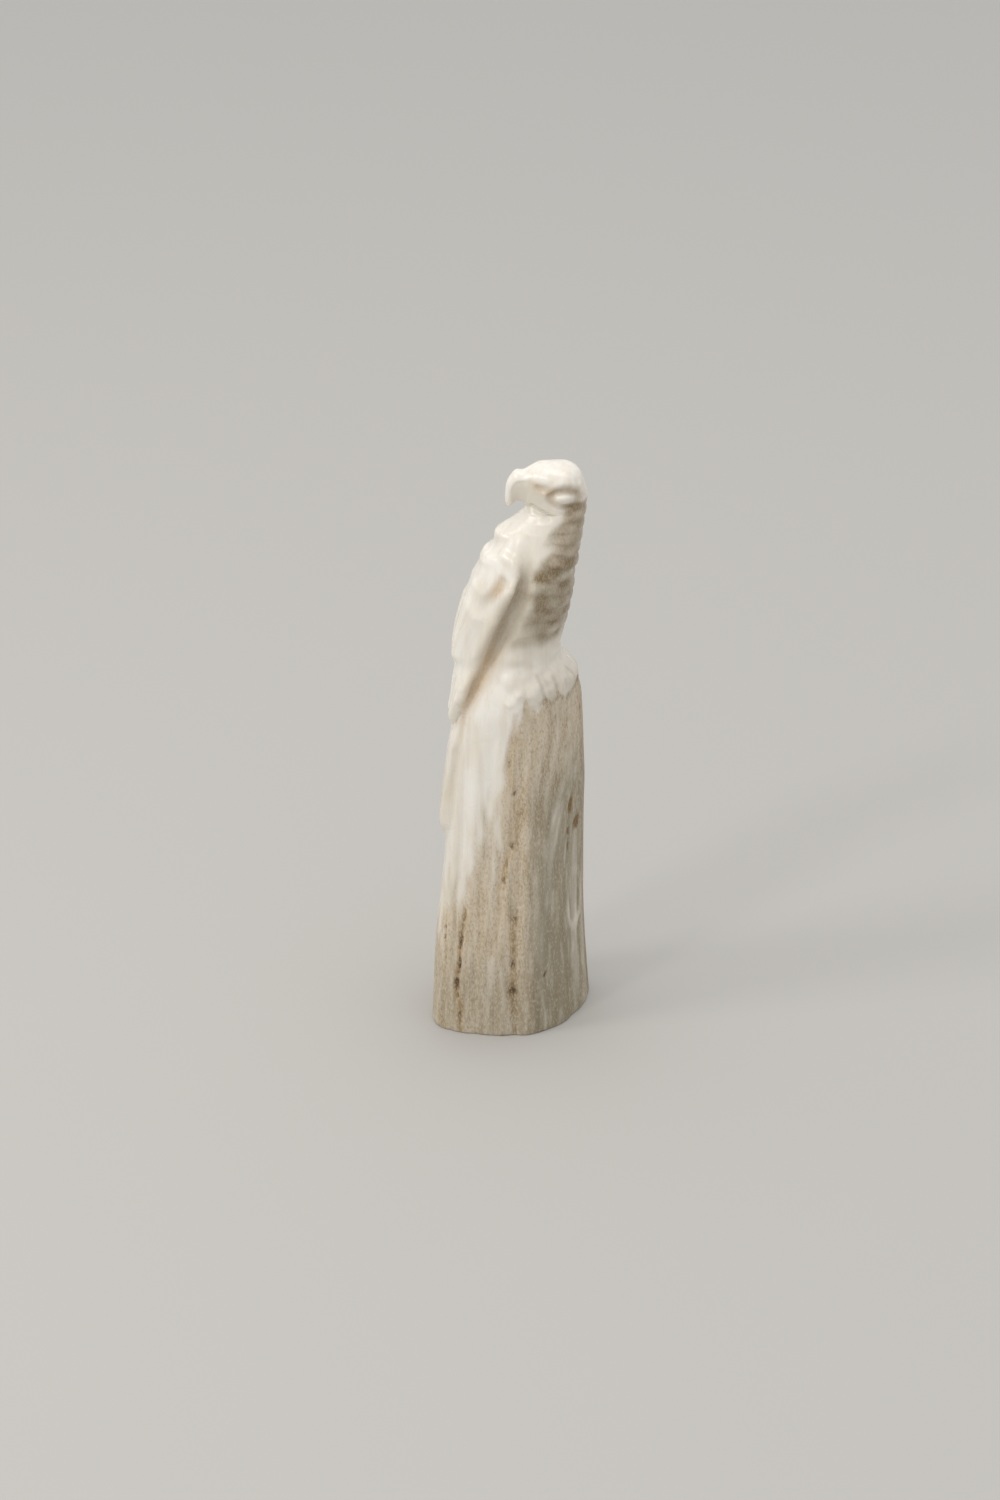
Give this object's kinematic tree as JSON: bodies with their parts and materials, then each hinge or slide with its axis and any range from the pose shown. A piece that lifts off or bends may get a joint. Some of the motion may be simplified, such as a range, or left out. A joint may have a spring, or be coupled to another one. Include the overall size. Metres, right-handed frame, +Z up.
{
  "type": "eagle fetish carving",
  "caption": "Small carved antler figure of a perched eagle with folded wings, looking back over its tail, on the stump of antler it is cut from.",
  "frame": {"origin": "middle of the underside of the stump, on the surface it stands on", "axes": "+Z up, +X towards the breast and toes, so that the wings, the tail and the beak point towards -X"},
  "size_m": [0.0272, 0.0224, 0.1034],
  "materials": {
    "antler": "antler, polished cream on the bird and the top of the stump, natural ridged grey-brown below"
  },
  "bodies": {
    "root": {"eagle_carving": "antler"}
  },
  "joints": []
}
